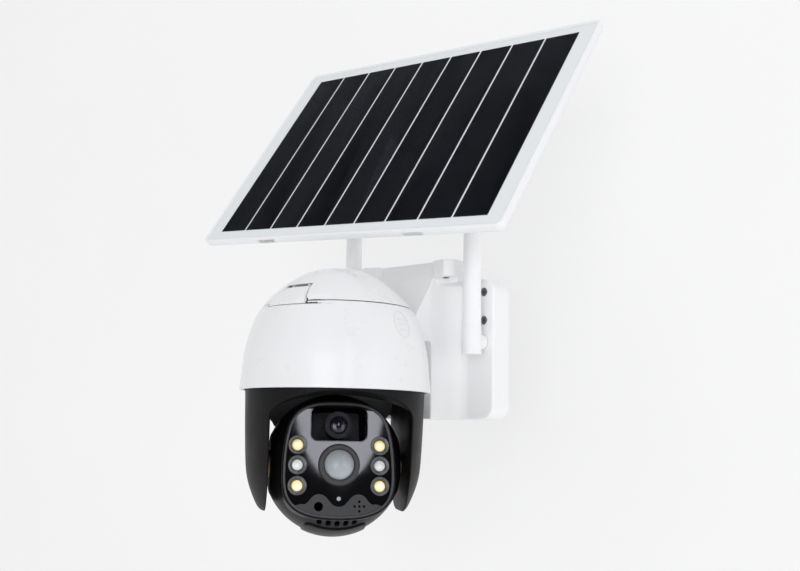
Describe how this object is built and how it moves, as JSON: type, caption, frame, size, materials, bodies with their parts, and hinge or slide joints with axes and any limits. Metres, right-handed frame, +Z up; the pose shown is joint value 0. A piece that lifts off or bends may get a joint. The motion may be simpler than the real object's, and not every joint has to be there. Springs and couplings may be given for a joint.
{
  "type": "solar security camera",
  "caption": "Wall-mounted pan and tilt security camera with a domed white body, folding antennas, hinged service lid and an adjustable solar panel on a mast.",
  "frame": {"origin": "centre of the wall face, where the wall plate meets the wall", "axes": "+Z up, +Y into the wall, -Y out of the wall, +X to the right seen from in front"},
  "size_m": [0.2817, 0.1653, 0.3547],
  "materials": {
    "white_shell": "satin white moulded shell",
    "white_lid": "satin white moulded lid",
    "white_antenna": "satin white antenna sleeve",
    "white_bracket": "white powder coat",
    "back_plastic": "matt moulded back cover",
    "wall_steel": "powder-coated steel plate",
    "screw_steel": "zinc-plated screws",
    "seal_rubber": "soft black seal",
    "cell_wrap": "heat-shrink wrap",
    "board_green": "solder mask",
    "tin_metal": "tinned sheet",
    "motor_steel": "plated motor can",
    "gear_plastic": "natural acetal",
    "chassis_black": "glass-filled black plastic",
    "bronze": "sintered bronze",
    "yoke_black": "fine textured black",
    "head_black": "fine textured black",
    "bezel_black": "polished black bezel",
    "face_acrylic": "polished smoked acrylic",
    "window_acrylic": "polished black window",
    "lens_glass": "coated lens",
    "pir_black": "matt dark grey ring",
    "pir_frost": "frosted lens",
    "led_warm": "phosphor-coated emitter",
    "led_clear": "clear emitter",
    "led_optic": "clear optic",
    "trim_grey": "satin dark grey trim",
    "panel_white": "glossy white frame",
    "silicon": "dark monocrystalline cells",
    "panel_glaze": "clear laminate",
    "button_rubber": "soft cap"
  },
  "bodies": {
    "housing": {"wall_plate": "wall_steel", "back_cover": "back_plastic", "box_gasket": "seal_rubber", "body_housing": "white_shell", "housing_screws": "screw_steel", "battery_cells": "cell_wrap", "battery_holder": "chassis_black", "charge_board": "board_green", "power_inlet": "chassis_black", "panel_mast": "white_bracket", "panel_hinge_bolt": "screw_steel", "dome_shell": "white_shell", "lid_hinge_pin": "screw_steel", "chassis_plate": "chassis_black", "pan_bearing": "bronze", "pan_motor": "motor_steel", "main_board": "board_green", "card_slot": "tin_metal", "antenna_bushes": "white_shell", "side_badges": "white_shell"},
    "power_button": {"power_button": "button_rubber"},
    "reset_button": {"reset_button": "button_rubber"},
    "lid": {"lid": "white_lid", "latch_pin": "screw_steel"},
    "latch": {"latch": "white_lid"},
    "pan_pinion": {"pan_pinion": "gear_plastic"},
    "yoke": {"yoke": "yoke_black", "pan_gear": "gear_plastic", "pan_shaft": "gear_plastic", "trunnions": "motor_steel", "tilt_gear": "gear_plastic"},
    "head": {"head_front": "head_black", "head_rear": "head_black", "head_screws": "screw_steel", "face_bezel": "bezel_black", "face_glass": "face_acrylic", "lens_window": "window_acrylic", "lens_barrel": "chassis_black", "camera_lens": "lens_glass", "sensor_board": "board_green", "pir_ring": "pir_black", "pir_lens": "pir_frost", "led_board": "board_green", "white_leds": "led_warm", "infrared_leds": "led_clear", "led_lenses": "led_optic", "lower_trim": "trim_grey", "light_sensor": "led_clear", "speaker": "motor_steel", "bottom_cover": "head_black", "tilt_motor": "motor_steel", "tilt_bushes": "bronze"},
    "tilt_pinion": {"tilt_pinion": "gear_plastic"},
    "antenna_left": {"antenna_left": "white_antenna"},
    "antenna_right": {"antenna_right": "white_antenna"},
    "panel_tilt_head": {"panel_tilt_head": "white_bracket"},
    "panel": {"panel_frame": "panel_white", "solar_cells": "silicon", "panel_glass": "panel_glaze", "junction_box": "chassis_black"}
  },
  "joints": [
    {"name": "pan", "type": "hinge", "parent": "housing", "child": "yoke", "pos_m": [0, -0.105, -0.02], "axis": [0, 0, 1], "range_deg": [-227.5, 127.5]},
    {"name": "tilt", "type": "hinge", "parent": "yoke", "child": "head", "pos_m": [0, -0.105, -0.0772], "axis": [0.6428, 0.766, 0], "range_deg": [-17, 98]},
    {"name": "pan_pinion_spin", "type": "hinge", "parent": "housing", "child": "pan_pinion", "pos_m": [0, -0.135, -0.02], "axis": [0, 0, 1], "range_deg": [-511, 911]},
    {"name": "tilt_pinion_spin", "type": "hinge", "parent": "head", "child": "tilt_pinion", "pos_m": [-0.01365, -0.09354, -0.07971], "axis": [0.6428, 0.766, 0], "range_deg": [-52, 295]},
    {"name": "lid_hinge", "type": "hinge", "parent": "housing", "child": "lid", "pos_m": [0, -0.0552, 0.0216], "axis": [-1, 0, 0], "range_deg": [0, 20.5]},
    {"name": "latch_pivot", "type": "hinge", "parent": "lid", "child": "latch", "pos_m": [0, -0.139, 0.0274], "axis": [-1, 0, 0], "range_deg": [0, 18]},
    {"name": "antenna_left_swivel", "type": "hinge", "parent": "housing", "child": "antenna_left", "pos_m": [-0.0533, -0.02, 0.004], "axis": [0, -1, 0], "range_deg": [0, 180]},
    {"name": "antenna_right_swivel", "type": "hinge", "parent": "housing", "child": "antenna_right", "pos_m": [0.0533, -0.02, 0.004], "axis": [0, 1, 0], "range_deg": [0, 180]},
    {"name": "panel_tilt", "type": "hinge", "parent": "housing", "child": "panel_tilt_head", "pos_m": [-0.00043, -0.03904, 0.13571], "axis": [0.9997, 0.0244, 0], "range_deg": [0, 25]},
    {"name": "panel_turn", "type": "hinge", "parent": "panel_tilt_head", "child": "panel", "pos_m": [0, -0.0568, 0.1469], "axis": [0.0207, -0.8459, 0.5329], "range_deg": [0, 10.4]},
    {"name": "power_press", "type": "slide", "parent": "housing", "child": "power_button", "axis": [0, 0, 1], "range_m": [0, 0.0006], "stiffness_N_per_m": 900, "springref_m": -0.0006},
    {"name": "reset_press", "type": "slide", "parent": "housing", "child": "reset_button", "axis": [0, 0, -1], "range_m": [0, 0.0005], "stiffness_N_per_m": 900, "springref_m": -0.0005}
  ],
  "couplings": [
    {"joint": "pan_pinion_spin", "follows": "pan", "ratio": -4},
    {"joint": "tilt_pinion_spin", "follows": "tilt", "ratio": 3}
  ]
}
